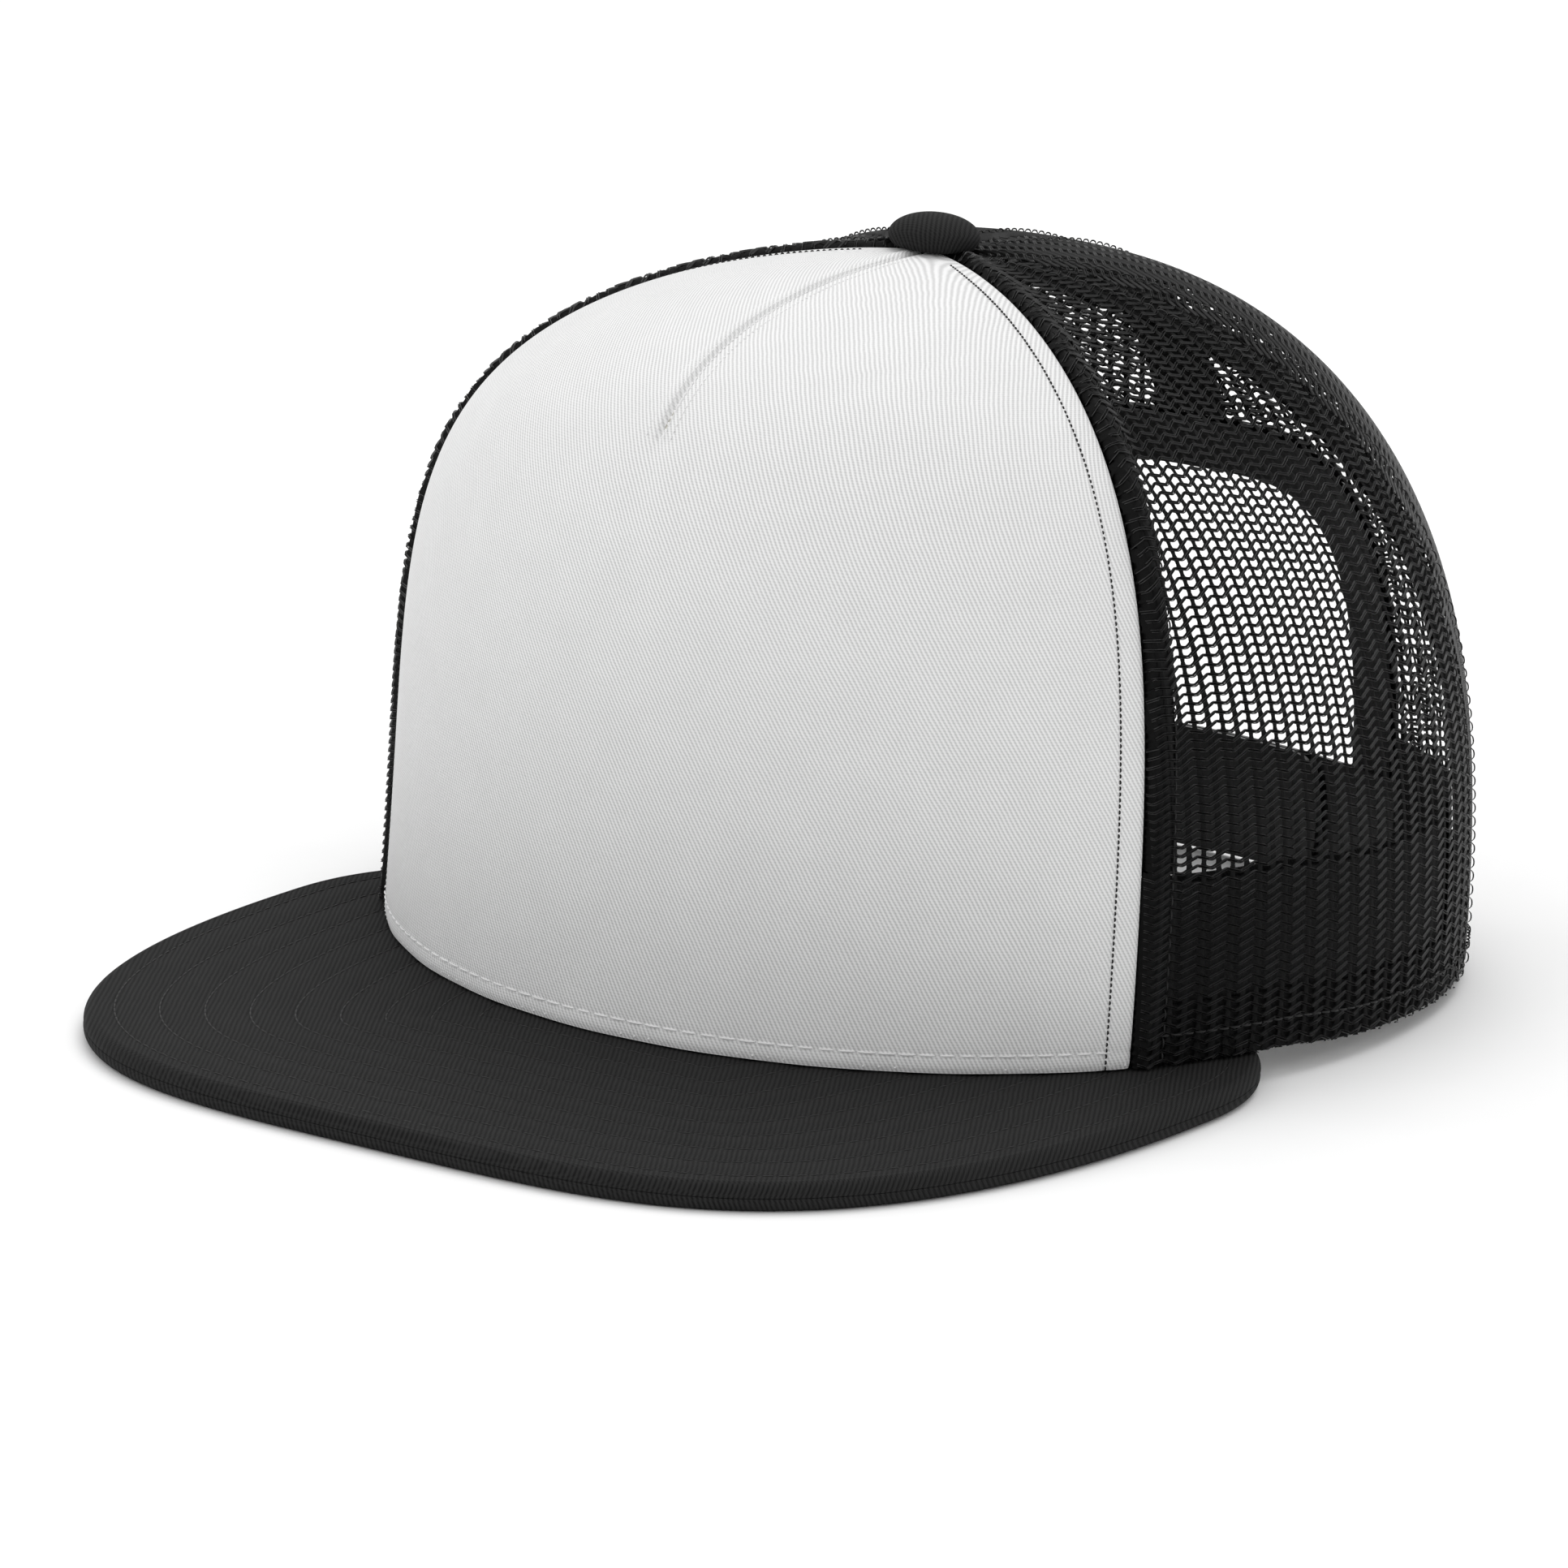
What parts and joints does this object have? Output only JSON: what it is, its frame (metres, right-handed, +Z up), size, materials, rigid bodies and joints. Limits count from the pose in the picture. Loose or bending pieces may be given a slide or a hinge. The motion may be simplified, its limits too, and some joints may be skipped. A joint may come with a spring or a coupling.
{
  "type": "trucker mesh cap",
  "caption": "High-crowned cap with a stiffened cloth front, knitted mesh sides and back, a flat visor, a covered button and a lapped snap strap in a rear arch.",
  "frame": {"origin": "on the floor that the visor rests on, below the middle of the cap", "axes": "-Y to the front, over the visor; +X to the wearer's left; +Z up towards the button"},
  "size_m": [0.1836, 0.2611, 0.1299],
  "materials": {
    "front_twill": "white cotton twill with a fine diagonal rib",
    "buckram": "stiffened open-weave cotton",
    "mesh": "warp-knitted polyester mesh with a zigzag rib",
    "binding": "folded black polyester tape",
    "tape": "black twill tape",
    "sweatband": "brushed black cotton twill",
    "foam": "soft open-cell foam",
    "visor_twill": "black cotton twill with faint stitched rows",
    "board": "moulded polyethylene board",
    "button_metal": "pressed steel",
    "strap": "moulded flexible polyethylene"
  },
  "bodies": {
    "crown": {"arch_binding": "binding", "back_mesh_left": "mesh", "back_mesh_right": "mesh", "button_back": "button_metal", "button_cloth": "visor_twill", "button_shell": "button_metal", "front_buckram": "buckram", "front_dart_tape": "tape", "front_panel": "front_twill", "hole_strap_tab": "strap", "mesh_hem_left": "mesh", "mesh_hem_right": "mesh", "peg_strap_tab": "strap", "seam_tape_back": "tape", "seam_tape_front_left": "tape", "seam_tape_front_right": "tape", "seam_tape_side_left": "tape", "seam_tape_side_right": "tape", "side_mesh_left": "mesh", "side_mesh_right": "mesh", "sweatband": "sweatband", "sweatband_foam": "foam", "visor_board": "board", "visor_top_cloth": "visor_twill", "visor_under_cloth": "visor_twill"},
    "hole_strap": {"hole_strap": "strap"},
    "peg_strap": {"peg_strap": "strap"}
  },
  "joints": [
    {"name": "hole_strap_bend", "type": "hinge", "parent": "crown", "child": "hole_strap", "pos_m": [0.03078, 0.12357, 0.01169], "axis": [0, -0.0314, -0.9995], "range_deg": [0, 90], "stiffness_Nm_per_rad": 0.0005},
    {"name": "peg_strap_bend", "type": "hinge", "parent": "crown", "child": "peg_strap", "pos_m": [-0.02992, 0.12101, 0.01177], "axis": [0, -0.0314, -0.9995], "range_deg": [0, 70], "stiffness_Nm_per_rad": 0.0005}
  ]
}
